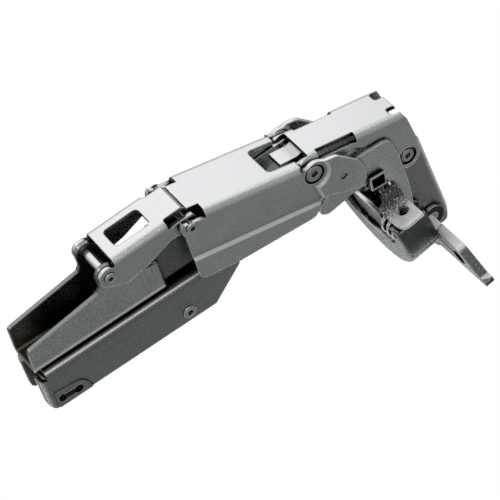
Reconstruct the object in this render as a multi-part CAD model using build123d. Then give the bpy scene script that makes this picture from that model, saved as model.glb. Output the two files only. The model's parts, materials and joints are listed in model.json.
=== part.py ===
from build123d import *
import os
from cmath import phase, rect
from math import degrees, radians, tan

# Concealed cup hinge with a wide opening angle, drawn wide open.
# Frame: X runs along the arm towards the door, Z points away from the cabinet side,
# Y is the door's height. The origin is the centre of the cross pin that hooks on the
# mounting plate. Sizes are in mm, angles in degrees, and half-widths are along Y.

# ---------------------------------------------------------------- driving sizes
# sheet and running gaps
sheet = 1.2
side_gap = 0.1
bore_gap = 0.06
bend = 0.8

# half-width of the innermost side walls
nose_half = 4.15

# arm channel, measured from the rear pivot
rear_pivot_x = -15.2
rear_pivot_z = 25.3
arm_back = 24.8
arm_front = 12.2
arm_ramp = 1.0
arm_drop = 16.0
rim_drop_back = 7.5
rim_drop_front = 4.0
ear_radius = 2.9

# mounting base under the arm
base_bottom = -2.9
base_front = 7.2
lip_turn = 2.0
lip_reach = 3.5
pad_rise = 0.3
plate_pin_radius = 1.4
catch_inset = 5.2
catch_z = -0.6

# links: pivot distances and the angle of each at rest
front_length = 22.5
front_angle = 2.5
cover_length = 34.6
cover_angle = -13.3
short_length = 30.1
short_angle = -30.3
end_length = 24.9
end_angle = -83.5
cam_reach = 7.9
cam_pivot_z = -3.6

# cover channel's web, its cut-outs and its pressed-out part
web_left = 0.8
web_right = 31.2
cut_left = 23.7
cut_half = 4.85
corner_half = 4.9
ramp_angle = 50.0
cap_angle = -11.3

# cup, in its own frame: u out of the door, m across the door towards the hinge side
cup_angle = 10.0
cup_radius = 17.5
cup_depth = 9.3
flange = 2.5
ear_reach = 31.6
ear_low = -12.6
ear_high = -4.1
nub = 2.2
screw_pitch = 48.0
screw_radius = 2.2
wall_top = 5.4
tab_inner = 9.6
tab_hole_radius = 1.6
end_pivot_u = 4.2
end_pivot_m = -11.5
guide_pin_u = -2.9
guide_pin_m = -4.8

# pins
rear_pin_radius = 1.3
pin_radius = 1.15
head_radius = 1.5
front_pin_radius = 1.6
head = 0.45
head_gap = 0.05
joggle = 0.8
cam_pin_radius = 1.0
guide_radius = 1.1
rivet_radius = 1.5

# turning of each piece over the whole travel, counter-clockwise from the side
fold = 152.0
short_turn = 69.0
end_turn = 15.0
cup_turn = 170.0
cam_turn = 52.0

# ---------------------------------------------------------------- worked-out sizes
arm_half = nose_half + sheet
link_half = arm_half + side_gap + sheet
cover_half = link_half + head_gap + head + side_gap + sheet
skirt_half = cover_half + joggle
cam_half = skirt_half - sheet - 0.1
short_half = cam_half - sheet - 0.3
end_half = short_half - sheet - 0.1
bracket_half = end_half + 2 * side_gap + sheet
inner_half = nose_half + 1.05
inner_sheet = 1.0
inner_eye = 2.6
rivet_places = (rear_pivot_x - arm_back + 3.6, rear_pivot_x - 6.5)
catch_x = rear_pivot_x - arm_back + catch_inset
cam_pivot_x = cover_length + cam_reach


def arm(length, angle):
    """A pivot-to-pivot vector as a complex number, x + z*1j."""
    return rect(length, radians(angle))


rear_pivot = complex(rear_pivot_x, rear_pivot_z)
top_pivot = rear_pivot + arm(front_length, front_angle)
nose_pivot = rear_pivot + arm(cover_length, cover_angle)
front_pivot = top_pivot + arm(cover_length, cover_angle)
cam_pivot = top_pivot + complex(cam_pivot_x, cam_pivot_z) * arm(1, cover_angle)
short_pivot = front_pivot + arm(short_length, short_angle)
end_pivot = short_pivot + arm(end_length, end_angle)
cup_origin = end_pivot - complex(end_pivot_u, end_pivot_m) * arm(1, cup_angle)
guide_rest = cup_origin + complex(guide_pin_u, guide_pin_m) * arm(1, cup_angle)


def guide_in_cup(part_of_travel):
    """Where the cam plates' pin lies in the cup's frame at a share of the travel."""
    t = part_of_travel
    shift = arm(front_length, front_angle + fold * t) - arm(front_length, front_angle)
    pin = cam_pivot + shift + (guide_rest - cam_pivot) * arm(1, cam_turn * t)
    end = front_pivot + shift + arm(short_length, short_angle + short_turn * t)
    cup = end + arm(end_length, end_angle + end_turn * t)
    turn = arm(1, cup_angle + cup_turn * t)
    return (pin - cup) / turn + complex(end_pivot_u, end_pivot_m)


guide_path = [guide_in_cup(i / 20) for i in range(21)]


# ---------------------------------------------------------------- helpers
def place(piece, pivot, angle=0):
    """Turn a piece from its own link frame into the hinge's frame."""
    return Pos(pivot.real, 0, pivot.imag) * Rot(0, -angle, 0) * piece


def outline(*corners):
    """A closed side-view outline: corners are (x, z) or (x, z, rounding).

    A rounding is held to what its two straight neighbours leave room for.
    """
    points = [complex(*corner[:2]) for corner in corners]
    before = points[-1:] + points[:-1]
    after = points[1:] + points[:1]
    rounding = []
    for corner, last, here, following in zip(corners, before, points, after):
        asked = corner[2] if len(corner) > 2 else 0
        turn = abs(phase((following - here) / (here - last)))
        room = 0.48 * min(abs(here - last), abs(following - here)) / tan(turn / 2)
        rounding.append(min(asked, room))
    corners_xz = [(point.real, point.imag) for point in points]
    return make_face(FilletPolyline(*corners_xz, radius=rounding, close=True))


def disc(x, z, radius):
    return Pos(x, z) * Circle(radius)


def wall(profile, inner, outer):
    """A side wall on the near side, between two half-widths."""
    return extrude(Plane.XZ.offset(inner) * profile, outer - inner)


def across(profile, half):
    """A solid right across the hinge, with this side view."""
    return extrude(Plane.XZ.offset(-half) * profile, 2 * half)


def both(piece):
    """The piece and its mirror image on the far side."""
    return piece + mirror(piece, Plane.XZ)


def folded(profile, half, thickness, web, open_up=False, reach=60):
    """A folded channel: its section runs along X and the side view trims it."""
    way = -1 if open_up else 1
    outer = Rectangle(2 * half, 2 * reach)
    outer = fillet(outer.vertices(), bend + thickness)
    inner = offset(outer, -thickness, kind=Kind.ARC)
    section = Pos(0, way * (web * way - reach)) * (outer - inner)
    tube = extrude(Plane.YZ.offset(-100) * section, 250)
    return tube & across(profile, half + 1)


def opened(half, start, end):
    """What to cut so that only side walls are left between two stations of a link."""
    return Pos((start + end) / 2, 0, 0) * Box(end - start, 2 * half, 40)


def pin(x, z, radius, half, head_size, hollow=0.45):
    """A cross pin with a hollow-ended, chamfered head outside each side wall."""
    shank = across(disc(x, z, radius), half)
    rim = wall(disc(x, z, head_size), half, half + head)
    outer_face = rim.faces().sort_by(Axis.Y)[0]
    rim = chamfer(outer_face.edges(), head * 0.45)
    end_hole = wall(disc(x, z, head_size * hollow), half, half + head)
    return shank + both(rim - end_hole)


def hole(x, z, radius):
    return across(disc(x, z, radius), 20)


# ---------------------------------------------------------------- arm body
def arm_channel():
    side = outline(
        (-arm_back, -rim_drop_back, 1.2),
        (-ear_radius - 1.0, -rim_drop_front, 0.8),
        (-ear_radius, -rim_drop_front + 1.4, 0.5),
        (-ear_radius, 0.5),
        (ear_radius, 0.5),
        (ear_radius + 0.8, -4.6, 1.5),
        (arm_front + arm_ramp, -6.3, 0.5),
        (arm_front + arm_ramp, -arm_drop - 1),
        (-arm_back - 0.4, -arm_drop - 1),
    ) + disc(0, 0, ear_radius)
    body = folded(side, arm_half, sheet, -arm_drop, open_up=True)
    ramp_end = (arm_front + arm_ramp, -arm_half + sheet)
    ramp = make_face(Polyline((arm_front, -arm_half), ramp_end, (ramp_end[0], -arm_half), close=True))
    body -= both(extrude(ramp, 20, both=True))
    body -= hole(0, 0, rear_pin_radius)
    slot = Pos(-arm_back + 11, 0, 0) * extrude(SlotCenterToCenter(7, 4.2), 60, both=True)
    return place(body - slot, rear_pivot) - rivet_holes()


def arm_nose():
    nose = complex(nose_pivot - rear_pivot)
    bottom = -arm_drop + sheet
    side = outline(
        (-3.0, bottom - 1),
        (-3.0, -11.5, 1.5),
        (10.5, -10.0, 1.5),
        (12.4, -6.2, 1.2),
        (15.5, -3.1, 1.0),
        (20.5, -2.6, 1.5),
        (nose.real - 6.2, nose.imag + 2.8, 2.0),
        (nose.real + 2.2, nose.imag + 2.8),
        (nose.real + 2.2, nose.imag - 2.8),
        (22.5, bottom - 1, 2.0),
    ) + disc(nose.real, nose.imag, 3.5)
    body = folded(side, nose_half, sheet, bottom, open_up=True)
    return place(body - hole(nose.real, nose.imag, pin_radius), rear_pivot)


def arm_base():
    """The U under the arm, its rear edges turned inward, with a raised pad round the slot."""
    top = rear_pivot_z - arm_drop
    back = rear_pivot_x - arm_back - 0.6
    front = base_front + 11.0
    side = outline(
        (back, top + 1),
        (back, base_bottom + 1.0),
        (back + 0.8, base_bottom, 2.6),
        (base_front, base_bottom, 1.2),
        (base_front + 2.6, base_bottom + 2.2, 2.0),
        (base_front + 9.0, base_bottom + 7.5, 2.0),
        (front, top + 1),
    )
    body = folded(side, link_half, sheet, top)
    body -= Pos(back, 0, 0) * Box(2 * lip_turn, 4 * link_half, 4 * arm_drop)
    plan = Rectangle(2 * (front - back), 2 * link_half)
    plan = fillet(plan.vertices(), lip_turn)
    turned = plan - offset(plan, -sheet, kind=Kind.ARC)
    turned = Pos(front, 0) * turned & Pos(back, 0) * Rectangle(2 * lip_turn, 2 * link_half)
    turned -= Pos(back, 0) * Rectangle(4 * lip_turn, 2 * (link_half - lip_reach))
    lips = extrude(Pos(0, 0, base_bottom) * turned, top - base_bottom - 2 * sheet)
    body += [solid for solid in (lips & across(side, link_half + 1)).solids()]
    pad = outline(
        (back + lip_turn, base_bottom + 5.2),
        (catch_x + 4.3, base_bottom + 4.3, 3.0),
        (catch_x + 6.0, base_bottom - 1),
        (back + lip_turn, base_bottom - 1),
    )
    body += both(wall(pad & side, link_half - sheet / 2, link_half + pad_rise))
    slot = SlotCenterToCenter(4.4, 1.6) + Pos(2.2, 0) * Circle(1.2) + Pos(-2.2, 0) * Circle(1.2)
    body -= across(Pos(catch_x, catch_z) * Rot(0, 0, -5) * slot, 20)
    body -= hole(0, 0, plate_pin_radius)
    return body - rivet_holes()


def rivet_holes():
    top = rear_pivot_z - arm_drop
    return [Pos(x, 0, top) * Cylinder(rivet_radius, 4 * sheet) for x in rivet_places]


def plate_pin():
    return pin(0, 0, plate_pin_radius, link_half, plate_pin_radius + 0.4)


def rear_catch():
    """The sprung block that snaps behind the mounting plate, its tongue in the slots."""
    block = Pos(catch_x, catch_z) * Rot(0, 0, -5) * Rectangle(7.0, 3.6)
    tongue = Pos(catch_x, catch_z) * Rot(0, 0, -5) * Rectangle(3.4, 1.5)
    return across(block, link_half - sheet - side_gap) + across(tongue, link_half - 0.7)


def base_rivets():
    """Two rivets hold the arm channel on the base."""
    top = rear_pivot_z - arm_drop
    rivets = []
    for x in rivet_places:
        shank = Pos(x, 0, top) * Cylinder(rivet_radius, 2 * sheet)
        low = Pos(x, 0, top - sheet - head / 2) * Cylinder(rivet_radius + 0.8, head)
        high = Pos(x, 0, top + sheet + head / 2) * Cylinder(rivet_radius + 0.8, head)
        rivets.append(shank + low + high)
    return rivets


# ---------------------------------------------------------------- links
def window_link():
    web = 3.9
    side = outline(
        (2.4, web + 1),
        (2.4, 2.0, 0.6),
        (-2.2, 1.6),
        (-1.0, -2.7),
        (3.6, -5.0, 2.0),
        (10.0, -4.0, 4.0),
        (front_length - 5.2, -1.4, 1.5),
        (front_length + 1.5, -2.2),
        (front_length + 2.0, 1.9),
        (front_length - 0.4, web + 1),
    ) + disc(0, 0, 2.75) + disc(front_length, 0, 2.75)
    body = folded(side, link_half, sheet, web)
    body -= opened(link_half - sheet, -10, 2.4)
    neck = Pos(front_length, link_half) * Rectangle(9.6, 4.0)
    neck = fillet(neck.vertices(), 0.6)
    neck += mirror(neck, Plane.XZ)
    top = extrude(Plane.XY.offset(web - sheet - bend) * neck, 10)
    window = fillet(Rectangle(10.0, 6.6).vertices(), 1.2)
    body -= Pos(10.2, 0, 0) * extrude(window, 10)
    body -= top
    body -= hole(0, 0, rear_pin_radius + bore_gap)
    body -= hole(front_length, 0, pin_radius)
    return place(body, rear_pivot, front_angle)


def inner_link():
    web = -3.1
    side = outline(
        (-2.6, 1.2),
        (-1.0, -2.4),
        (4.5, web + 0.4, 1.0),
        (5.5, web - 1),
        (front_length - 7.0, web - 1),
        (front_length - 6.0, web + 0.6, 1.0),
        (front_length + 1.0, -2.4),
        (front_length + 2.2, 1.1),
        (front_length, 2.5),
        (0, 2.7),
    ) + disc(0, 0, 2.7) + disc(front_length, 0, inner_eye)
    body = folded(side, inner_half, inner_sheet, web, open_up=True)
    body -= opened(inner_half - inner_sheet, -10, 6.0)
    body -= opened(inner_half - inner_sheet, front_length - 7.5, front_length + 10)
    body -= hole(0, 0, pin_radius + bore_gap)
    body -= hole(front_length, 0, front_pin_radius + 0.15)
    return place(body, nose_pivot, front_angle)


def cover_channel():
    """The outer channel: its skirt and nose are pressed out by the joggle."""
    web = 3.1
    band = -9.2
    side = outline(
        (web_left, web + 1),
        (web_left, web - 0.9, 0.5),
        (-2.5, 1.9),
        (-2.4, 0.5),
        (1.4, -15.8, 1.0),
        (3.4, -16.3, 2.0),
        (11.9, -15.9, 8.0),
        (cover_length - 0.5, -12.6, 1.5),
        (cover_length + 0.7, -11.0, 0.8),
        (cover_length + 1.6, -8.4, 0.6),
        (cover_length + 3.8, -7.5, 1.5),
        (cam_pivot_x, -8.8, 3.0),
        (cam_pivot_x + 3.9, -8.8, 2.5),
        (cam_pivot_x + 7.0, -7.7, 1.4),
        (cam_pivot_x + 6.0, -3.7, 2.0),
        (cam_pivot_x + 4.6, -1.0, 1.5),
        (cover_length + 6.0, 3.4, 3.0),
        (cover_length - 0.4, 3.4, 2.0),
        (cover_length - 2.0, 2.3, 0.8),
        (web_right, 2.3, 0.6),
        (web_right, web + 1),
    ) + disc(0, 0, 2.75)
    body = folded(side, cover_half, sheet, web)
    body -= opened(cover_half - sheet, -10, web_left)
    body -= opened(cover_half - sheet, web_right, web_right + 40)
    upper = side - Pos(web_left, web) * Rectangle(2 * (web_right - web_left), 2 * (bend + sheet))
    flat = both(wall(upper, cover_half - sheet, cover_half))
    pressed = outline(
        (-5, band - 0.1),
        (cover_length + 1.9, band + 0.7, 0.6),
        (cover_length - 1.0, -2.0),
        (cover_length, web + 3),
        (2 * cover_length, web + 3),
        (2 * cover_length, -20),
        (-5, -20),
    ) - disc(cover_length, 0, 3.4)
    raised = extrude(Plane.XZ.offset(cover_half) * pressed, joggle, taper=ramp_angle)
    raised &= wall(side, cover_half, skirt_half)
    sunk = extrude(Plane.XZ.offset(cover_half - sheet) * pressed, joggle, taper=ramp_angle)
    body += flat
    body -= both(sunk)
    body += both(raised)
    boss = wall(disc(cover_length, 0, 3.1), cover_half - sheet - 0.45, cover_half - sheet)
    boss = chamfer(boss.faces().sort_by(Axis.Y)[-1].edges(), 0.4)
    body += both(boss)
    body -= both(wall(disc(cover_length, 0, 2.8), cover_half - 0.5, cover_half + 2))
    gap = Pos((cut_left + 60) / 2, 0) * Rectangle(60 - cut_left, 2 * cut_half)
    body -= extrude(fillet(gap.vertices(), 1.2), 20)
    corner = Pos(web_left, cover_half) * Rectangle(6.4, 2 * (cover_half - corner_half))
    corner += mirror(corner, Plane.XZ)
    body -= extrude(Plane.XY.offset(web - sheet - bend + 0.1) * corner, 10)
    body -= hole(0, 0, pin_radius + bore_gap)
    body -= hole(cover_length, 0, front_pin_radius)
    body -= hole(cam_pivot_x, cam_pivot_z, cam_pin_radius)
    return place(body, top_pivot, cover_angle)


def cover_link():
    """The short cover: a U whose tongue reaches back into the channel's cut-out."""
    web = 3.8
    end = arm(short_length, short_angle - cap_angle)
    side = outline(
        (0.2, web + 1),
        (0.2, 1.6),
        (-2.0, 2.8),
        (-3.3, 0),
        (-2.0, -2.8),
        (0, -3.4),
        (4.5, -3.4, 3.0),
        (9.1, -0.6, 1.5),
        (13.4, 0.4, 2.0),
        (end.real - 5.5, end.imag + 5.0, 6.0),
        (end.real - 3.6, end.imag + 1.2),
        (end.real - 2.8, end.imag - 2.4),
        (end.real + 1.0, end.imag - 3.6),
        (end.real + 3.7, end.imag - 0.5),
        (end.real + 2.9, end.imag + 4.2),
        (end.real + 0.2, end.imag + 11.4, 1.2),
        (end.real - 1.6, web + 1),
    ) + disc(0, 0, 3.5) + disc(end.real, end.imag, 3.7)
    body = folded(side, short_half, sheet, web)
    body -= opened(short_half - sheet, -10, 0.2)
    tongue = outline(
        (-5.9, 0.8),
        (-5.9, 2.0),
        (-1.0, 2.2, 2.0),
        (1.6, web),
        (3.6, web),
        (3.6, web - sheet),
        (1.9, web - sheet),
        (-0.6, 2.2 - sheet, 2.0),
    )
    body += across(tongue, 2.6)
    body -= both(wall(disc(0, 0, inner_eye + 0.15), 3.0, short_half - sheet))
    slit = Pos(8.2, short_half) * Rectangle(11.0, 2 * (bend + sheet) - 0.1)
    slit += mirror(slit, Plane.XZ)
    body -= extrude(Plane.XY.offset(web - 1.9) * slit, 10)
    corner = Pos(end.real - 1.6, short_half - 2.9) * Rectangle(4.0, 2.8)
    corner = fillet(corner.vertices(), 0.8)
    corner += mirror(corner, Plane.XZ)
    body -= extrude(Plane.XY.offset(web - 3.0) * corner, 10)
    body -= both(wall(disc(end.real, end.imag, 2.6), short_half - 0.5, short_half + 1))
    body -= hole(0, 0, front_pin_radius + bore_gap)
    body -= hole(end.real, end.imag, pin_radius)
    return place(body, front_pivot, cap_angle)


def end_link():
    web = 5.4
    side = outline(
        (1.0, web + 1),
        (-1.6, 3.0),
        (-2.8, 0),
        (-1.4, -2.6),
        (6.0, -3.2, 2.0),
        (end_length - 9.6, -3.3, 2.0),
        (end_length - 2.4, -2.6, 1.5),
        (end_length + 2.5, -2.6, 2.0),
        (end_length + 5.6, 0.4, 1.5),
        (end_length + 5.8, 3.4, 1.5),
        (end_length + 0.6, web + 0.2, 3.0),
        (end_length - 7.4, web + 0.3),
        (end_length - 7.6, web + 1),
    ) + disc(0, 0, 3.0)
    body = folded(side, end_half, sheet, web)
    body -= Pos(end_length, 0, web - sheet - bend) * Box(15, 2 * (end_half - sheet), 8)
    body -= hole(0, 0, pin_radius + bore_gap)
    body -= hole(end_length, 0, pin_radius + bore_gap)
    return place(body, short_pivot, end_angle)


def cam_plate(far=False):
    """Curved side plate from the cover channel's nose down into the cup."""
    end = guide_rest - cam_pivot
    side = outline(
        (-2.2, 2.6),
        (4.9, 1.2, 2.0),
        (13.0, 0.8, 1.5),
        (14.8, 0.0, 1.5),
        (16.2, -6.0, 2.0),
        (16.8, -16.0, 6.0),
        (16.8, -20.5, 6.0),
        (end.real + 2.6, end.imag + 1.0),
        (end.real - 2.4, end.imag - 1.0),
        (end.real - 1.6, end.imag + 6.0, 6.0),
        (13.3, -19.0, 3.0),
        (12.6, -15.0, 2.0),
        (10.3, -8.0, 1.0),
        (6.0, -8.8, 1.0),
        (1.5, -8.6, 1.0),
        (-1.0, -9.1, 2.0),
        (-6.0, -10.0, 1.5),
        (-8.4, -8.8, 1.2),
        (-7.6, -6.5, 1.5),
        (-3.6, -3.2),
    ) + disc(0, 0, 3.8) + disc(end.real, end.imag, 2.7)
    plate = wall(side, cam_half - sheet, cam_half)
    plate -= hole(0, 0, cam_pin_radius + bore_gap)
    plate -= hole(end.real, end.imag, guide_radius)
    if far:
        plate = mirror(plate, Plane.XZ)
    return place(plate, cam_pivot)


# ---------------------------------------------------------------- cup
def cup():
    """Cup frame: local X is u, out of the door, and local Z is m.

    The wall is cut away above wall_top, where a tab turned inward on each side stays.
    """
    ring = Plane.YZ
    body = extrude(ring.offset(-cup_depth) * Circle(cup_radius), cup_depth)
    body = fillet(body.faces().sort_by(Axis.X)[0].edges(), 1.6)
    strip = outline(
        (-ear_reach, ear_low),
        (-ear_reach - nub, ear_low + 0.2, 0.6),
        (-ear_reach - nub, ear_low + 1.7, 0.6),
        (-ear_reach, ear_low + 2.2, 0.5),
        (-screw_pitch / 2 - 1.4, ear_high, 3.0),
        (0, ear_high),
        (0, ear_low),
    )
    plan = strip + mirror(strip, Plane.YZ) + Circle(cup_radius + 1.4)
    plan -= Pos(0, 25) * Rectangle(60, 50 - 2 * 2.0)
    plan += Circle(cup_radius)
    body += extrude(ring * plan, flange)
    hollow = extrude(ring.offset(sheet - cup_depth) * Circle(cup_radius - sheet), cup_depth + 10)
    body -= chamfer(hollow.faces().sort_by(Axis.X)[0].edges(), 0.8)
    above = Pos(sheet - cup_depth, 0, wall_top)
    body -= above * Box(50, 80, 50, align=(Align.MIN, Align.CENTER, Align.MIN))
    body += both(tab_plate())
    for side in (-1, 1):
        hole_y = side * screw_pitch / 2
        cut = extrude(ring.offset(-1) * Pos(hole_y, (ear_low + ear_high) / 2) * Circle(screw_radius), 10)
        slot_y = side * (end_half - sheet / 2)
        body -= cut
        body -= Pos(1.5, slot_y, -cup_radius) * Box(8, sheet + 0.5, 8)
    return place(body, cup_origin, cup_angle)


def tab_plate():
    """The pierced tab that lies on the near cut edge of the cup's wall."""
    outer = cup_radius - 0.2
    width = outer - tab_inner
    plan = Pos(-4.3, -tab_inner - width / 2) * Rectangle(7.2, width)
    corner = plan.vertices().sort_by(Axis.X)[:2].sort_by(Axis.Y)[0]
    plan = fillet(corner, 3.0)
    plan -= Pos(-3.8, -tab_inner - 2.6) * Circle(tab_hole_radius)
    return extrude(Plane.XY.offset(wall_top - sheet / 2) * plan, sheet)


def cup_bracket():
    """U-bracket in the cup: it holds the end link's pin and guides the cam pin."""
    floor = sheet - cup_depth
    side = outline(
        (floor, -13.2),
        (0.0, -14.8, 1.5),
        (end_pivot_u - 1.0, end_pivot_m - 3.6),
        (end_pivot_u + 2.6, end_pivot_m - 1.4),
        (end_pivot_u + 2.6, end_pivot_m + 1.6),
        (end_pivot_u - 1.6, end_pivot_m + 3.4, 2.0),
        (2.6, -3.0, 1.5),
        (1.0, -1.0, 1.5),
        (floor + 3, -1.0, 1.5),
        (floor, 3.0),
    ) + disc(end_pivot_u, end_pivot_m, 3.2)
    walls = both(wall(side, bracket_half - sheet, bracket_half))
    web = outline((floor, -13.2), (floor, 3.0), (floor + sheet, 3.0), (floor + sheet, -13.2))
    body = walls + across(web, bracket_half - 0.1)
    first = guide_path[0]
    reach = max(guide_path, key=lambda point: abs(point - first))
    along = phase(reach - first)
    turned = [point * rect(1, -along) for point in guide_path]
    low_x = min(point.real for point in turned)
    high_x = max(point.real for point in turned)
    low_z = min(point.imag for point in turned)
    high_z = max(point.imag for point in turned)
    middle = complex((low_x + high_x) / 2, (low_z + high_z) / 2) * rect(1, along)
    width = high_z - low_z + 2 * guide_radius + 0.3
    slot = SlotCenterToCenter(high_x - low_x + 0.02, width)
    slot = Pos(middle.real, middle.imag) * Rot(0, 0, degrees(along)) * slot
    body -= across(slot, 20)
    body -= hole(end_pivot_u, end_pivot_m, pin_radius)
    return place(body, cup_origin, cup_angle)


# ---------------------------------------------------------------- pins
def rear_pin():
    return place(pin(0, 0, rear_pin_radius, link_half + head_gap, head_radius), rear_pivot)


def top_pin():
    return place(pin(0, 0, pin_radius, cover_half + head_gap, head_radius), top_pivot)


def nose_pin():
    return place(across(disc(0, 0, pin_radius), inner_half + 0.2), nose_pivot)


def front_pin():
    return place(pin(0, 0, front_pin_radius, cover_half - 0.5, 2.3, 0.4), front_pivot)


def cam_pins():
    stub = wall(disc(0, 0, cam_pin_radius), cam_half - sheet, skirt_half - 0.3)
    return place(both(stub), cam_pivot)


def short_pin():
    return place(pin(0, 0, pin_radius, short_half - 0.5, head_radius + 0.4), short_pivot)


def end_pin():
    return place(across(disc(0, 0, pin_radius), bracket_half), end_pivot)


def guide_pin():
    return place(across(disc(0, 0, guide_radius), cam_half + 0.3), guide_rest)


# ---------------------------------------------------------------- write the pieces
pieces = {
    "arm_channel": arm_channel(),
    "arm_nose": arm_nose(),
    "arm_base": arm_base(),
    "base_rivets": base_rivets(),
    "plate_pin": plate_pin(),
    "rear_catch": rear_catch(),
    "window_link": window_link(),
    "inner_link": inner_link(),
    "cover_channel": cover_channel(),
    "cover_link": cover_link(),
    "end_link": end_link(),
    "cam_plate_near": cam_plate(),
    "cam_plate_far": cam_plate(far=True),
    "cup": cup(),
    "cup_bracket": cup_bracket(),
    "rear_pin": rear_pin(),
    "top_pin": top_pin(),
    "nose_pin": nose_pin(),
    "front_pin": front_pin(),
    "cam_pins": cam_pins(),
    "short_pin": short_pin(),
    "end_pin": end_pin(),
    "guide_pin": guide_pin(),
}

os.makedirs("parts", exist_ok=True)
for name, piece in pieces.items():
    solids = [solid for item in (piece if isinstance(piece, list) else [piece]) for solid in item.solids()]
    shape = solids[0] if len(solids) == 1 else Compound(children=solids)
    export_step(shape, f"parts/{name}.step")
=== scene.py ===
"""Looks of the concealed cup hinge: nickel-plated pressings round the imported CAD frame."""
import json
from functools import cached_property
from math import pi, radians

import bpy
from mathutils import Matrix, Vector


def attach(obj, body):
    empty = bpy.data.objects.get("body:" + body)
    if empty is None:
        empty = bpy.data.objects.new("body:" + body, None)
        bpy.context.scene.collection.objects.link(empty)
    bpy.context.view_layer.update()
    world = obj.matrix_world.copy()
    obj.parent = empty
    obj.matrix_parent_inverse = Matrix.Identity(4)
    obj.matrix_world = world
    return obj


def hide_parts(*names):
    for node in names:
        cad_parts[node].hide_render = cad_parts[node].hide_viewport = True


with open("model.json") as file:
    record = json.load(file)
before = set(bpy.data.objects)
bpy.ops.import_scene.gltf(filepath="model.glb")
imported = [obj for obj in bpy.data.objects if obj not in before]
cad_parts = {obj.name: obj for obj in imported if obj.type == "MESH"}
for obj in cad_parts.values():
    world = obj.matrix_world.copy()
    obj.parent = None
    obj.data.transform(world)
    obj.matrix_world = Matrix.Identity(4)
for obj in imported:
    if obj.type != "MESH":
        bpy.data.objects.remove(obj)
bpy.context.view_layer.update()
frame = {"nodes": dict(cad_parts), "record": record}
nodes = frame["nodes"]

MM = 0.001

# The cup's own frame: its X is u, out of the door, and its Z is m, towards the hinge side.
CUP_TURN = radians(-10.0)
CUP_PLACE = Vector((63.624, 0.0, -11.009)) * MM

# How far the shading looks round a bend, and how far it looks across a narrow gap and over a
# hollow to paint shade there.
BEND_REACH = 0.5 * MM
GAP_SHADE_REACH = 1.7 * MM
HOLLOW_SHADE_REACH = 9.0 * MM

# The studio's white, the plate's tone on its edges, for wear and a painted highlight, and the
# tone of a painted highlight along bends.
WHITE = (1.0, 1.0, 1.0)
WORN_AND_GLINT = (0.86, 0.86, 0.84)
CREAM_HIGHLIGHT = (0.95, 0.91, 0.84)


def mm(*sizes):
    """Millimetres, in metres."""
    return tuple(size * MM for size in sizes)


# ---------------------------------------------------------------- shader writing
class Wire:
    """A shader socket that takes part in ordinary sums."""

    def __init__(self, bench, socket):
        self.bench = bench
        self.socket = socket

    def _math(self, operation, *values):
        return self.bench.add("ShaderNodeMath", {"operation": operation}, *values)

    def __add__(self, other):
        return self._math("ADD", self, other)

    def __radd__(self, other):
        return self._math("ADD", other, self)

    def __sub__(self, other):
        return self._math("SUBTRACT", self, other)

    def __rsub__(self, other):
        return self._math("SUBTRACT", other, self)

    def __mul__(self, other):
        return self._math("MULTIPLY", self, other)

    def __rmul__(self, other):
        return self._math("MULTIPLY", other, self)

    def __abs__(self):
        return self._math("ABSOLUTE", self)


class Bench:
    """The node tree of a material or a world, with a method that adds any node and wires it."""

    def __init__(self, owner):
        self.owner = owner
        owner.use_nodes = True
        self.tree = owner.node_tree
        self.tree.nodes.clear()

    def add(self, kind, settings, *inputs, out=0, **named):
        """Add a node, set it, and give its sockets values or links, in order or by name."""
        node = self.tree.nodes.new(kind)
        for key, setting in settings.items():
            setattr(node, key, setting)
        for index, given in enumerate(inputs):
            self.feed(node.inputs[index], given)
        for key, given in named.items():
            self.feed(node.inputs[key.replace("_", " ")], given)
        return Wire(self, node.outputs[out]) if len(node.outputs) else None

    def feed(self, socket, given):
        if isinstance(given, Wire):
            self.tree.links.new(given.socket, socket)
        else:
            socket.default_value = given

    @cached_property
    def place(self):
        """Where a point lies on its piece, in metres."""
        return self.add("ShaderNodeTexCoord", {}, out="Object")

    @cached_property
    def facing(self):
        """Which way the surface looks, in the piece's own directions."""
        return self.add("ShaderNodeTexCoord", {}, out="Normal")

    def part(self, axis, vector):
        return self.add("ShaderNodeSeparateXYZ", {}, vector, out=axis)

    def off_middle(self):
        """How far a point lies from the hinge's middle plane, to either side."""
        return abs(self.part("Y", self.place))

    def dot(self, first, second):
        settings = {"operation": "DOT_PRODUCT"}
        return self.add("ShaderNodeVectorMath", settings, first, second, out="Value")

    def ramp(self, factor, start, end):
        """0 up to start, 1 from end on, straight between. Start is the higher one for a fall."""
        return self.add("ShaderNodeMapRange", {"clamp": True}, factor, start, end, 0.0, 1.0)

    def band(self, factor, rise, fall):
        """1 between a rise and a fall, each of which is its two ends in rising order."""
        return self.ramp(factor, *rise) * self.ramp(factor, *reversed(fall))

    def blend(self, factor, first, second):
        """The first colour where the factor is 0, the second where it is 1."""
        return self.add("ShaderNodeMix", {"data_type": "RGBA"}, out="Result",
                        Factor=factor, A=first, B=second)

    def noise(self, scale, detail=2.0, rough=0.5, at=None):
        return self.add("ShaderNodeTexNoise", {}, Vector=at or self.place,
                        Scale=scale, Detail=detail, Roughness=rough)

    def gap_occlusion(self):
        """1 in the open, less where another surface is close; this ambient occlusion places
        painted shade in narrow gaps.
        """
        return self.add("ShaderNodeAmbientOcclusion", {"samples": 8},
                        Distance=GAP_SHADE_REACH, out="AO")

    def finish(self, shader, output="ShaderNodeOutputMaterial"):
        self.add(output, {}, shader)
        return self.owner


def shade(colour, share=1.0):
    """A colour with its alpha, or a share of that colour's brightness."""
    return (*(channel * share for channel in colour), 1.0)


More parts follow.
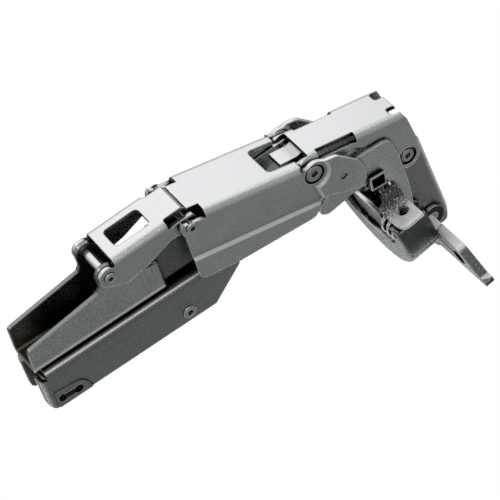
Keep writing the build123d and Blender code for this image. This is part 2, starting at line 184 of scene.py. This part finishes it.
# ---------------------------------------------------------------- finishes
def nickel(name, colour, roughness, grain, size, edge=0.5, fleck=0.3,
           deep=(0.006, 0.006, 0.006), top_painted_tone=(0.60, 0.60, 0.615), tilt_shade=0.0, local=None):
    """Nickel plate over pressed sheet: orange-peel grain, bright specks, wear and painted
    highlight on edges.

    The size is the grain's, in millimetres. Grain, edge, fleck and crisp are strengths: of the
    grain, of the wear and painted highlight on edges, of the specks, and of the painted shade on
    surfaces that look up a little. The colour of the painted shade in gaps and hollows is deep,
    and the painted tone of tops, which are smooth, is shine.
    Local is a function that adds to the look what only one piece has.
    """
    bench = Bench(bpy.data.materials.new(name))
    grains_per_metre = 1.0 / (size * MM)
    peel = bench.noise(grains_per_metre, detail=3.0, rough=0.6)
    specks = bench.noise(1.3 * grains_per_metre, detail=1.0)
    aside = bench.add("ShaderNodeMapping", {}, bench.place, Location=(0.3, 0.3, 0.3))
    pits = bench.noise(0.9 * grains_per_metre, at=aside)
    patches = bench.noise(160.0)

    # Where the edges with wear and painted highlight, the surfaces clear of painted shade, the
    # smooth tops and the tilted ones are.
    rounded = bench.add("ShaderNodeBevel", {"samples": 6}, BEND_REACH)
    flat = bench.add("ShaderNodeNewGeometry", {}, out="Normal")
    bent = 1.0 - bench.dot(rounded, flat)
    # Painted shade: hollows of the piece and narrow gaps to other pieces take the deep colour.
    hollow_occlusion = bench.add("ShaderNodeAmbientOcclusion", {"samples": 12, "only_local": True},
                         Distance=HOLLOW_SHADE_REACH, out="AO")
    clear_of_painted_shade = bench.ramp(hollow_occlusion, 0.70, 0.95) * bench.ramp(bench.gap_occlusion(), 0.40, 0.85)
    # Convex edges in the open are painted lighter: wear, and a painted highlight where they would
    # catch the light.
    wear_and_glint = bench.ramp(bent, 0.02, 0.16) * clear_of_painted_shade * edge
    lift = bench.part("Z", bench.facing)
    # Painted light by facing: tops take their own painted tone, and surfaces that look up a
    # little get painted shade.
    top = bench.ramp(lift, 0.86, 0.96)
    tilted = bench.band(lift, (0.12, 0.40), (0.80, 0.90)) * tilt_shade

    # The plate from the patches up: pits, specks, wear and painted highlight on edges, the
    # painted tone of tops and painted shade on tilted surfaces.
    dull = shade(colour, 1.0 - 0.10 * grain)
    speck = shade(min(1.0, channel * 1.7 + 0.05) for channel in colour)
    base = bench.blend(bench.ramp(patches, 0.35, 0.65), dull, shade(colour))
    base = bench.blend(bench.ramp(pits, 0.52, 0.66) * fleck, base, shade(colour, 0.45))
    base = bench.blend(bench.ramp(specks, 0.58, 0.70) * fleck, base, speck)
    # Edges painted lighter: wear, and a painted highlight.
    base = bench.blend(wear_and_glint, base, shade(WORN_AND_GLINT))
    # Painted tone on tops, then painted shade on tilted surfaces.
    base = bench.blend(top, base, shade(top_painted_tone))
    base = bench.blend(tilted, base, shade(colour, 0.35))
    rough = bench.ramp(pits, 0.44, 0.60) * (0.30 * grain) + (roughness - 0.08)
    rough = rough * (1.0 - top) + top * 0.20
    height = peel * (1.0 - top * 0.9)

    look = {"base": base, "rough": rough, "height": height, "metallic": 1.0, "deep": shade(deep)}
    if local:
        local(bench, look)
    bump = bench.add("ShaderNodeBump", {}, Strength=1.0, Distance=0.12 * MM * grain,
                     Height=look["height"], Normal=rounded)
    # Shade is painted into the base colour in hollows and narrow gaps.
    return bench.finish(bench.add(
        "ShaderNodeBsdfPrincipled", {}, Metallic=look["metallic"], Roughness=look["rough"],
        Base_Color=bench.blend(clear_of_painted_shade, look["deep"], look["base"]), Normal=bump))


def cup_local(bench, look):
    """On the cup: the flange's shear-cut edge is pale satin with painted light, and the hollow
    has painted shade.
    """
    in_cup = bench.add("ShaderNodeMapping", {"vector_type": "TEXTURE"}, bench.place,
                       Location=CUP_PLACE, Rotation=(0.0, CUP_TURN, 0.0))
    u = bench.part("X", in_cup)
    m = bench.part("Z", in_cup)
    across = bench.add("ShaderNodeVectorMath", {"operation": "MULTIPLY"}, in_cup, (0.0, 1.0, 1.0))
    radius = bench.add("ShaderNodeVectorMath", {"operation": "LENGTH"}, across, out="Value")
    hinge_way = Matrix.Rotation(CUP_TURN, 3, "Y") @ Vector((0.0, 0.0, 1.0))
    looks_up = bench.ramp(bench.dot(bench.facing, hinge_way), 0.75, 0.92)
    # The flange's cut edge, picked by facing towards the hinge side, is pale satin, with painted
    # light on it as well.
    sheared_edge_and_light = looks_up * bench.ramp(u, *mm(-0.1, 0.1)) * bench.ramp(m, *mm(-6.0, -4.5))
    # Painted shade: the hollow inside the cup is darkened.
    hollow = bench.ramp(radius, *mm(17.0, 16.4)) * bench.band(u, mm(-8.6, -8.3), mm(-0.8, -0.2))
    base = bench.blend(hollow, look["base"], shade((0.030, 0.027, 0.022)))
    look["base"] = bench.blend(sheared_edge_and_light, base, shade((0.90, 0.885, 0.85)))
    look["rough"] = look["rough"] * (1.0 - sheared_edge_and_light) + sheared_edge_and_light * 0.42
    look["height"] = look["height"] * (1.0 - sheared_edge_and_light)
    look["metallic"] = 1.0 - sheared_edge_and_light * 0.75


def arm_local(bench, look):
    """On the arm: painted highlights in cream along the channel's bottom bend and the base's
    ridge, and painted shade that darkens the base below the channel and the nose, and turns brown
    at the open back end of the trough."""
    level = bench.part("Z", bench.place)
    off_middle = bench.off_middle()
    below = bench.ramp(level, *mm(9.6, 9.0))
    nose = bench.ramp(off_middle, *mm(4.5, 4.2))
    back = bench.ramp(bench.part("X", bench.place), *mm(-30.0, -34.5))
    # Painted highlight: cream lines along the channel's bottom bend and the base's ridge.
    bend = (bench.band(level, mm(10.2, 10.6), mm(11.2, 12.0))
            * bench.ramp(off_middle, *mm(5.28, 5.32)))
    ridge = bench.ramp(level, *mm(8.6, 8.8)) * below * bench.ramp(off_middle, *mm(5.6, 5.8))
    # Painted shade: the base below the channel and the nose are darkened.
    base = bench.blend(below * 0.60, look["base"], shade((0.235, 0.24, 0.24)))
    base = bench.blend(nose * 0.75, base, shade((0.12, 0.12, 0.115)))
    # The painted highlights are pale and less metallic, and they show through the painted shade
    # too.
    look["base"] = bench.blend(bend * 0.80 + ridge * 0.9, base, shade(CREAM_HIGHLIGHT))
    look["metallic"] = 1.0 - (bend + ridge) * 0.6
    # The painted shade turns brown towards the open back end of the trough.
    deep = bench.blend(back, look["deep"], shade((0.150, 0.135, 0.095)))
    look["deep"] = bench.blend((bend + ridge) * 0.7, deep, shade(CREAM_HIGHLIGHT))


def cover_local(bench, look):
    """On the cover: a painted highlight on the slope of the joggle above the skirt."""
    slope = bench.band(bench.off_middle(), mm(8.49, 8.58), mm(9.12, 9.24))
    # Painted highlight: the slope is pale and less metallic.
    look["base"] = bench.blend(slope * 0.85, look["base"], shade((0.95, 0.96, 0.96)))
    look["metallic"] = 1.0 - slope * 0.55


def spotted_plate(name):
    """Bright plate on the pierced tab, with dark spots that grow thicker towards the middle of
    the cup.
    """
    bench = Bench(bpy.data.materials.new(name))
    inward = bench.ramp(bench.off_middle(), *mm(14.2, 8.8))
    spots = bench.noise(2600.0, detail=4.0, rough=0.75)
    dark_spots = bench.ramp(spots + inward * 0.27, 0.60, 0.72)
    base = bench.blend(dark_spots, shade((0.90, 0.90, 0.88)), shade((0.035, 0.035, 0.035)))
    # Painted shade: the plate turns black in narrow gaps to other pieces.
    base = bench.blend(bench.ramp(bench.gap_occlusion(), 0.30, 0.70), shade((0.02, 0.02, 0.02)), base)
    return bench.finish(bench.add("ShaderNodeBsdfPrincipled", {}, Base_Color=base,
                                  Metallic=0.25, Roughness=dark_spots * 0.2 + 0.22))


def pocket_plate(name):
    """Bright plate, painted black as shade in a pocket and towards the cam plate."""
    bench = Bench(bpy.data.materials.new(name))
    outer = bench.ramp(bench.off_middle(), *mm(8.6, 9.1))
    # Painted shade: the pocket and the side towards the cam plate are black.
    base = bench.blend(outer, shade((0.004, 0.004, 0.004)), shade((0.62, 0.61, 0.59)))
    return bench.finish(bench.add("ShaderNodeBsdfPrincipled", {}, Base_Color=base,
                                  Metallic=1.0, Roughness=0.25))


NICKELS = {
    "arm_nickel": dict(colour=(0.66, 0.69, 0.70), roughness=0.22, grain=1.0, size=0.40,
                       fleck=0.85, top_painted_tone=(0.20, 0.21, 0.22), tilt_shade=1.0, local=arm_local),
    "cover_nickel": dict(colour=(0.76, 0.79, 0.80), roughness=0.22, grain=0.8, size=0.35,
                         fleck=0.42, local=cover_local),
    "link_nickel": dict(colour=(0.72, 0.74, 0.735), roughness=0.22, grain=0.8, size=0.35,
                        fleck=0.42),
    "end_nickel": dict(colour=(0.44, 0.43, 0.40), roughness=0.28, grain=0.8, size=0.35,
                       fleck=0.25),
    "cup_nickel": dict(colour=(0.17, 0.18, 0.185), roughness=0.20, grain=1.0, size=0.55,
                       fleck=0.5, local=cup_local),
    "bright_nickel": dict(colour=(0.80, 0.80, 0.79), roughness=0.14, grain=0.15, size=0.40),
    # A darker copy of the nickel for the bracket in the cup's hollow: painted shade.
    "bracket_shade_nickel": dict(colour=(0.085, 0.078, 0.065), roughness=0.25, grain=0.4, size=0.40,
                           edge=0.7, fleck=0.4),
    "rivet_nickel": dict(colour=(0.66, 0.65, 0.64), roughness=0.20, grain=0.3, size=0.25,
                         edge=1.0, deep=(0.07, 0.068, 0.064)),
}
finishes = {name: nickel(name, **settings) for name, settings in NICKELS.items()}
finishes["spotted_nickel"] = spotted_plate("spotted_nickel")
finishes["pocket_nickel"] = pocket_plate("pocket_nickel")

# Each CAD node has its slot's finish, but the bracket inside the cup is darker than the pins:
# a copy of the nickel darkened as painted shade in the cup's hollow.
cad_finishes = {part["node"]: part["material_slot"] for part in frame["record"]["subparts"]}
cad_finishes["cup_bracket"] = "bracket_shade_nickel"
for name, node in nodes.items():
    node.data.materials.clear()
    node.data.materials.append(finishes[cad_finishes[name]])


# ---------------------------------------------------------------- modelling
SELECT_MODES = {"polygons": "FACE", "edges": "EDGE", "vertices": "VERT"}


def nothing_selected():
    bpy.ops.object.select_all(action="DESELECT")


def alone(piece):
    """Make a piece the only one selected, and the active one."""
    nothing_selected()
    piece.select_set(True)
    bpy.context.view_layer.objects.active = piece


def fresh(name):
    """The object that was just added, renamed."""
    piece = bpy.context.object
    piece.name = name
    piece.data.name = name
    return piece


def into_edit(mode="FACE"):
    """Edit mode, with all of the active piece selected."""
    bpy.ops.object.mode_set(mode="EDIT")
    bpy.ops.mesh.select_mode(type=mode)
    bpy.ops.mesh.select_all(action="SELECT")


def pick(piece, test, kind="polygons"):
    """Edit mode, with the faces, edges or points of the active piece that pass a test."""
    into_edit(SELECT_MODES[kind])
    bpy.ops.mesh.select_all(action="DESELECT")
    bpy.ops.object.mode_set(mode="OBJECT")
    for part in getattr(piece.data, kind):
        part.select = bool(test(part))
    bpy.ops.object.mode_set(mode="EDIT")


def ends_pass(piece, test):
    """A test of an edge, which passes when both its ends pass the one given."""
    return lambda edge: all(test(piece.data.vertices[end].co) for end in edge.vertices)


def faces_outwards():
    bpy.ops.mesh.select_all(action="SELECT")
    bpy.ops.mesh.normals_make_consistent(inside=False)


def done():
    bpy.ops.object.mode_set(mode="OBJECT")


def hold():
    """Let the active piece's mesh take on its place, turn and scale."""
    bpy.ops.object.transform_apply(location=True, rotation=True, scale=True)


def settle(piece, place=(0.0, 0.0, 0.0), turn=0.0, axis="Y"):
    """Turn a piece modelled at the origin, and then move it to its place."""
    piece.matrix_world = Matrix.Translation(place) @ Matrix.Rotation(turn, 4, axis)
    hold()


def modify(piece, kind, **settings):
    change = piece.modifiers.new(kind.lower(), kind)
    for key, setting in settings.items():
        setattr(change, key, setting)
    bpy.ops.object.modifier_apply(modifier=change.name)


def soften(piece, width, segments):
    """Round off a piece's sharp edges."""
    modify(piece, "BEVEL", width=width, segments=segments, limit_method="ANGLE",
           angle_limit=radians(50))


def cut(piece, cutter):
    alone(piece)
    modify(piece, "BOOLEAN", operation="DIFFERENCE", object=cutter, solver="EXACT")
    bpy.data.objects.remove(cutter)


def mirrored(piece, name):
    """A copy of a piece on the far side of the hinge."""
    alone(piece)
    bpy.ops.object.duplicate()
    copy = fresh(name)
    copy.scale.y = -1.0
    hold()
    into_edit()
    faces_outwards()
    done()
    return copy


def fit(piece, body, slot, finish):
    piece.data.materials.clear()
    piece.data.materials.append(finishes[finish])
    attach(piece, body)
    return piece


def prism(name, corners, start_u, depth):
    """A cutter along u, from its (y, m) outline in the cup's frame, in millimetres."""
    nothing_selected()
    bpy.ops.mesh.primitive_circle_add(vertices=len(corners), radius=1.0, fill_type="NGON")
    block = fresh(name)
    for corner, (y, m) in zip(block.data.vertices, corners):
        corner.co = Vector((start_u, y, m)) * MM
    into_edit()
    bpy.ops.mesh.extrude_region_move(TRANSFORM_OT_translate={"value": mm(depth, 0, 0)})
    faces_outwards()
    done()
    settle(block, CUP_PLACE, CUP_TURN)
    return block


def cup_shell():
    """The cup with its floor cut open over the springs and its flange trimmed straight."""
    alone(nodes["cup"])
    bpy.ops.object.duplicate()
    shell = fresh("cup_shell")
    into_edit("VERT")
    bpy.ops.mesh.remove_doubles(threshold=0.001 * MM)
    done()
    floor = ((13.8, 5.39), (12.0, -3.0), (8.0, -6.2), (3.0, -7.4),
             (-3.0, -7.4), (-8.0, -6.2), (-12.0, -3.0), (-13.8, 5.39),
             (-19.0, 5.39), (-19.0, 19.0), (19.0, 19.0), (19.0, 5.39))
    flange = ((40.0, -4.1), (-40.0, -4.1), (-40.0, 30.0), (40.0, 30.0))
    near_tab = ((-9.0, 4.75), (-17.6, 4.75), (-17.6, 7.0), (-9.0, 7.0))
    far_tab = tuple((-y, m) for y, m in reversed(near_tab))
    for cutter in (prism("floor_cutter", floor, start_u=-12.0, depth=5.0),
                   prism("flange_cutter", flange, start_u=0.0, depth=9.0),
                   prism("near_tab_cutter", near_tab, start_u=-8.4, depth=8.4),
                   prism("far_tab_cutter", far_tab, start_u=-8.4, depth=8.4)):
        cut(shell, cutter)
    bpy.ops.object.shade_smooth_by_angle(angle=radians(28))
    fit(shell, "cup", "cup_nickel", "cup_nickel")
    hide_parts("cup")


def ear_root(name):
    """The flange running in over the cup's mouth from the ear."""
    nothing_selected()
    bpy.ops.mesh.primitive_cube_add(size=1.0, location=mm(1.24, -13.6, -7.9))
    root = fresh(name)
    root.scale = mm(2.46, 5.6, 7.6)
    hold()
    # The corner over the mouth is rounded.
    pick(root, ends_pass(root, lambda end: end.y > -11.0 * MM and end.z > -5.0 * MM), "edges")
    bpy.ops.mesh.bevel(offset=0.8 * MM, segments=4)
    done()
    soften(root, 0.1 * MM, 2)
    settle(root, CUP_PLACE, CUP_TURN)
    return root


def cup_spring(name):
    """A short stout spring lying along the pins beside the bracket."""
    wire, coil, pitch, turns = 0.78 * MM, 1.95 * MM, 2.2 * MM, 2.5
    nothing_selected()
    bpy.ops.mesh.primitive_circle_add(vertices=14, radius=wire, location=(coil, 0, 0),
                                      rotation=(pi / 2, 0, 0))
    spring = fresh(name)
    hold()
    modify(spring, "SCREW", axis="Z", angle=2 * pi * turns, screw_offset=pitch * turns,
           steps=64, render_steps=64, use_merge_vertices=False)
    into_edit("EDGE")
    bpy.ops.mesh.fill_holes(sides=0)
    faces_outwards()
    bpy.ops.mesh.faces_shade_smooth()
    done()
    settle(spring, turn=pi / 2, axis="X")
    settle(spring, mm(-7.3, -8.8, 2.1))
    settle(spring, CUP_PLACE, CUP_TURN)
    return spring


def cup_tab(name):
    """The pierced tab on the wall's cut edge, curving up beside the cam plate."""
    nothing_selected()
    bpy.ops.mesh.primitive_plane_add(size=1.0, location=mm(-4.35, -14.2, 5.4))
    tab = fresh(name)
    tab.scale = (*mm(7.1, 6.4), 1.0)
    hold()
    # The outer corner is rounded off.
    pick(tab, lambda corner: corner.co.x < -5.0 * MM and corner.co.y < -14.0 * MM, "vertices")
    bpy.ops.mesh.bevel(offset=2.6 * MM, segments=7, affect="VERTICES")
    done()
    # The inner edge is bent up, narrowed, and drawn out to a still narrower end.
    pick(tab, ends_pass(tab, lambda end: end.y > -11.2 * MM), "edges")
    bpy.ops.mesh.spin(steps=10, angle=radians(-74.0), center=mm(0, -11.0, 8.2), axis=(1, 0, 0))
    bpy.ops.transform.resize(value=(0.80, 1.0, 1.0))
    bpy.ops.transform.translate(value=mm(0.7, 0, 0))
    bpy.ops.mesh.extrude_region_move(TRANSFORM_OT_translate={"value": mm(0.6, -0.1, 3.6)})
    bpy.ops.transform.resize(value=(0.72, 1.0, 1.0))
    done()
    modify(tab, "SOLIDIFY", thickness=1.1 * MM, offset=0.0)
    into_edit()
    faces_outwards()
    done()
    # The hole is drilled, and the edges are broken.
    bpy.ops.mesh.primitive_cylinder_add(vertices=40, radius=1.65 * MM, depth=6.0 * MM,
                                        location=mm(-3.8, -12.5, 5.4))
    cut(tab, fresh("tab_drill"))
    soften(tab, 0.22 * MM, 3)
    bpy.ops.object.shade_smooth_by_angle(angle=radians(35))
    settle(tab, CUP_PLACE, CUP_TURN)
    return tab


def cam_stop(name):
    """A small square-pocketed stop on the outer face of the cam plate."""
    nothing_selected()
    bpy.ops.mesh.primitive_cube_add(size=1.0)
    stop = fresh(name)
    stop.scale = mm(4.4, 1.5, 4.0)
    hold()
    # The pocket is sunk from the outer face.
    pick(stop, lambda face: face.normal.y < -0.9)
    bpy.ops.mesh.inset(thickness=0.42 * MM)
    bpy.ops.mesh.extrude_region_move(TRANSFORM_OT_translate={"value": mm(0, 1.3, 0)})
    done()
    soften(stop, 0.14 * MM, 2)
    settle(stop, Vector((56.2, -8.6, 4.3)) * MM, radians(4.0))
    return stop


cup_shell()
# What is on both sides: its name, how it's made, its body, its slot and its finish.
pairs = (
    ("ear_root", ear_root, "cup", "cup_nickel", "cup_nickel"),
    ("cup_spring", cup_spring, "cup", "bright_nickel", "bright_nickel"),
    ("cup_tab", cup_tab, "cup", "bright_nickel", "spotted_nickel"),
    ("cam_stop", cam_stop, "cam_plates", "bright_nickel", "pocket_nickel"),
)
near_pieces = [fit(make(f"{name}_near"), *manner) for name, make, *manner in pairs]
for near_piece, (name, _, *manner) in zip(near_pieces, pairs):
    fit(mirrored(near_piece, f"{name}_far"), *manner)


# ---------------------------------------------------------------- studio
FLOOR_LEVEL = -0.12
AIM = Vector((0.02, 0.0, 0.0))
EYE = Vector((-119.8, -400.45, 446.4)) * MM
EYE_RIGHT = Vector((0.812, -0.539, -0.225))
EYE_BACK = Vector((-0.230, -0.649, 0.725))


def floor_white(name):
    """A pale matt floor, clean white to the camera.

    What the metal mirrors of it is brightest right under the part and dark in front,
    as with a dark card laid before the part in a light tent.
    """
    bench = Bench(bpy.data.materials.new(name))
    seen = bench.add("ShaderNodeLightPath", {}, out="Is Camera Ray")
    mirrored_ray = bench.add("ShaderNodeLightPath", {}, out="Is Glossy Ray")
    under = bench.band(bench.part("Y", bench.place), (-0.05, -0.005), (0.05, 0.13))
    card_white = (0.95, 0.99, 1.0)
    card_colour = bench.blend(under, shade(card_white, 0.205), shade(card_white, 0.905))
    card = bench.add("ShaderNodeEmission", {}, Color=card_colour, Strength=1.0)
    matt = bench.add("ShaderNodeBsdfDiffuse", {}, Color=shade(WHITE, 0.5))
    glow = bench.add("ShaderNodeEmission", {}, Color=shade(WHITE), Strength=1.0)
    below = bench.add("ShaderNodeMixShader", {}, mirrored_ray, matt, card)
    return bench.finish(bench.add("ShaderNodeMixShader", {}, seen, below, glow))


def studio_floor():
    nothing_selected()
    bpy.ops.mesh.primitive_plane_add(size=6.0, location=(0, 0, FLOOR_LEVEL))
    floor = fresh("studio_floor")
    floor.data.materials.append(floor_white("floor_white"))


def softbox(name, place, width, height, power):
    lamp = bpy.data.lights.new(name, "AREA")
    lamp.shape = "RECTANGLE"
    lamp.size = width
    lamp.size_y = height
    lamp.energy = power
    box = bpy.data.objects.new(name, lamp)
    box.location = place
    box.rotation_euler = (AIM - Vector(place)).to_track_quat("-Z", "Y").to_euler()
    bpy.context.collection.objects.link(box)


def world_light():
    """White to the camera; what the metal mirrors is white behind and grey in front."""
    world = bpy.data.worlds.new("studio_world")
    bpy.context.scene.world = world
    bench = Bench(world)
    sight = bench.add("ShaderNodeTexCoord", {}, out="Generated")
    seen = bench.add("ShaderNodeLightPath", {}, out="Is Camera Ray")
    mirrored_ray = bench.add("ShaderNodeLightPath", {}, out="Is Glossy Ray")
    behind = bench.ramp(bench.part("Y", sight), -0.45, 0.25)
    room_white = (0.99, 1.0, 1.0)
    room_colour = bench.blend(behind, shade(room_white, 0.37), shade(room_white, 0.87))
    room = bench.add("ShaderNodeBackground", {}, room_colour, 1.0)
    plain = bench.add("ShaderNodeBackground", {}, shade((0.88, 0.89, 0.91)), 0.62)
    white = bench.add("ShaderNodeBackground", {}, shade(WHITE), 1.0)
    lit = bench.add("ShaderNodeMixShader", {}, mirrored_ray, plain, room)
    both = bench.add("ShaderNodeMixShader", {}, seen, lit, white)
    bench.finish(both, "ShaderNodeOutputWorld")


def camera():
    """A long lens above the near side, rolled a little."""
    lens = bpy.data.cameras.new("view")
    lens.sensor_width = 36.0
    lens.lens = 181.0
    lens.clip_end = 10.0
    eye = bpy.data.objects.new("view", lens)
    back = EYE_BACK.normalized()
    up = back.cross(EYE_RIGHT.normalized()).normalized()
    turn = Matrix((up.cross(back), up, back)).transposed().to_4x4()
    eye.matrix_world = Matrix.Translation(EYE) @ turn
    bpy.context.collection.objects.link(eye)
    bpy.context.scene.camera = eye


studio_floor()
softbox("overhead", (0.10, 0.75, 0.95), width=1.5, height=1.2, power=3.0)
softbox("front_top", (-0.35, -0.75, 0.85), width=0.9, height=0.5, power=1.5)
world_light()
camera()
bpy.context.scene.view_settings.view_transform = "Standard"
